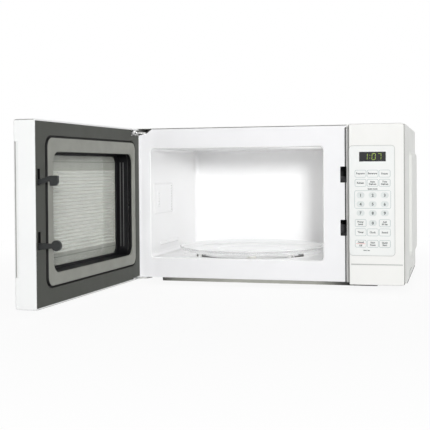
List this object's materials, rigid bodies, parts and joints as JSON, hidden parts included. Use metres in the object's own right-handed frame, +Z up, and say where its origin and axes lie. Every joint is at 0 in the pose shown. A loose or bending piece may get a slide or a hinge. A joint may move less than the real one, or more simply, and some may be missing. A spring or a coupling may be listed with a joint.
{
  "type": "countertop microwave oven",
  "caption": "Compact white countertop microwave oven with its side-hinged door open, glass turntable, hooked door latch and membrane keypad.",
  "frame": {"origin": "on the table, below the middle of the whole oven's box with its door open", "axes": "+X to the oven's right as seen from the front, +Y to its back, +Z up; the front faces -Y"},
  "size_m": [0.4893, 0.673, 0.2618],
  "materials": {
    "white_enamel": "semi-gloss white paint",
    "cover_paint": "semi-gloss off-white paint, fine texture",
    "cavity_enamel": "gloss white enamel",
    "door_plastic": "satin moulded white",
    "bezel_plastic": "satin moulded white",
    "choke_grey": "fine-textured dark grey",
    "seal_grey": "satin warm grey paint",
    "well_black": "polished black",
    "hook_black": "satin charcoal",
    "screen_steel": "perforated, satin grey",
    "door_pane": "lightly smoked pane",
    "clear_film": "clear film",
    "tray_glass": "clear moulded glass",
    "zinc_steel": "galvanised sheet",
    "steel": "zinc-plated steel",
    "aluminium": "drawn can",
    "keypad_print": "printed sheet",
    "display_smoke": "smoked lens",
    "circuit_green": "solder-resist green",
    "rubber_foot": "dark rubber",
    "ivory_plastic": "natural nylon",
    "ring_plastic": "dark grey plastic",
    "wheel_white": "white plastic",
    "mica": "mica sheet",
    "copper_wire": "enamelled copper",
    "core_steel": "laminated steel, varnished",
    "magnetron_copper": "copper anode",
    "black_plastic": "black plastic",
    "red_plastic": "red plastic",
    "lamp_glass": "clear bulb",
    "wire_red": "wire insulation",
    "motor_grey": "motor laminations"
  },
  "bodies": {
    "cabinet": {"outer_cover": "cover_paint", "rear_panel": "zinc_steel", "base_pan": "zinc_steel", "feet": "rubber_foot", "front_frame": "white_enamel", "cavity_shell": "cavity_enamel", "waveguide_cover": "mica", "waveguide": "zinc_steel", "magnetron": "zinc_steel", "magnetron_core": "magnetron_copper", "transformer_core": "core_steel", "transformer_windings": "copper_wire", "capacitor": "aluminium", "capacitor_clamp": "zinc_steel", "diode": "black_plastic", "fan_motor": "motor_grey", "fan_shroud": "zinc_steel", "oven_lamp": "lamp_glass", "lamp_holder": "black_plastic", "filter_board": "circuit_green", "fuse": "ivory_plastic", "thermal_cutout": "aluminium", "turntable_motor": "zinc_steel", "cord_gland": "black_plastic", "control_bezel": "bezel_plastic", "keypad_membrane": "keypad_print", "display_window": "display_smoke", "display_module": "black_plastic", "control_board": "circuit_green", "upper_hinge_bracket": "steel", "lower_hinge_bracket": "steel", "latch_board": "black_plastic", "primary_switch": "black_plastic", "secondary_switch": "black_plastic", "monitor_switch": "black_plastic", "cover_screws": "steel", "wiring_harness": "wire_red"},
    "drive": {"drive_coupler": "ivory_plastic", "motor_shaft": "steel"},
    "tray": {"glass_tray": "tray_glass"},
    "ring": {"roller_ring": "ring_plastic"},
    "wheel_1": {"roller_wheel_1": "wheel_white"},
    "wheel_2": {"roller_wheel_2": "wheel_white"},
    "wheel_3": {"roller_wheel_3": "wheel_white"},
    "fan": {"fan_blade": "ivory_plastic"},
    "door": {"door_shell": "door_plastic", "door_frame": "zinc_steel", "door_choke_cover": "choke_grey", "door_seal_panel": "seal_grey", "door_well": "well_black", "door_screen": "screen_steel", "door_film": "clear_film", "door_glass": "door_pane", "latch_guide": "ivory_plastic", "latch_spring": "steel"},
    "latch": {"latch_hooks": "hook_black"},
    "primary_button": {"primary_plunger": "red_plastic"},
    "secondary_button": {"secondary_plunger": "red_plastic"},
    "monitor_button": {"monitor_plunger": "red_plastic"}
  },
  "joints": [
    {"name": "door_hinge", "type": "hinge", "parent": "cabinet", "child": "door", "pos_m": [-0.20263, 0.01882, 0.012], "axis": [0, 0, -1], "range_deg": [-92.3, 12.7]},
    {"name": "latch_slide", "type": "slide", "parent": "door", "child": "latch", "axis": [0, 0, 1], "range_m": [0, 0.0045], "stiffness_N_per_m": 400, "springref_m": -0.004, "deforming": ["latch_spring"]},
    {"name": "turntable_spin", "type": "hinge", "parent": "cabinet", "child": "drive", "pos_m": [-0.03508, 0.14952, 0.0482], "axis": [0, 0, 1], "continuous": true},
    {"name": "tray_lift", "type": "slide", "parent": "drive", "child": "tray", "axis": [0, 0, 1], "range_m": [0, 0.02]},
    {"name": "ring_roll", "type": "hinge", "parent": "cabinet", "child": "ring", "pos_m": [-0.03508, 0.14952, 0.0407], "axis": [0, 0, 1], "continuous": true},
    {"name": "wheel_1_roll", "type": "hinge", "parent": "ring", "child": "wheel_1", "pos_m": [0.04372, 0.09736, 0.0407], "axis": [0.8339, -0.5519, 0], "continuous": true},
    {"name": "wheel_2_roll", "type": "hinge", "parent": "ring", "child": "wheel_2", "pos_m": [-0.02931, 0.24384, 0.0407], "axis": [0.061, 0.9981, 0], "continuous": true},
    {"name": "wheel_3_roll", "type": "hinge", "parent": "ring", "child": "wheel_3", "pos_m": [-0.11965, 0.10736, 0.0407], "axis": [-0.8949, -0.4462, 0], "continuous": true},
    {"name": "fan_spin", "type": "hinge", "parent": "cabinet", "child": "fan", "pos_m": [0.17507, 0.29552, 0.16], "axis": [0, 1, 0], "continuous": true},
    {"name": "primary_press", "type": "slide", "parent": "cabinet", "child": "primary_button", "axis": [0, 1, 0], "range_m": [0, 0.0012], "stiffness_N_per_m": 600, "springref_m": -0.001},
    {"name": "secondary_press", "type": "slide", "parent": "cabinet", "child": "secondary_button", "axis": [0, 1, 0], "range_m": [0, 0.0012], "stiffness_N_per_m": 600, "springref_m": -0.001},
    {"name": "monitor_press", "type": "slide", "parent": "cabinet", "child": "monitor_button", "axis": [0, 1, 0], "range_m": [0, 0.0012], "stiffness_N_per_m": 600, "springref_m": -0.001}
  ],
  "couplings": [
    {"joint": "ring_roll", "follows": "turntable_spin", "ratio": 0.5},
    {"joint": "wheel_1_roll", "follows": "turntable_spin", "ratio": -6.3851},
    {"joint": "wheel_2_roll", "follows": "turntable_spin", "ratio": -6.3851},
    {"joint": "wheel_3_roll", "follows": "turntable_spin", "ratio": -6.3851}
  ]
}
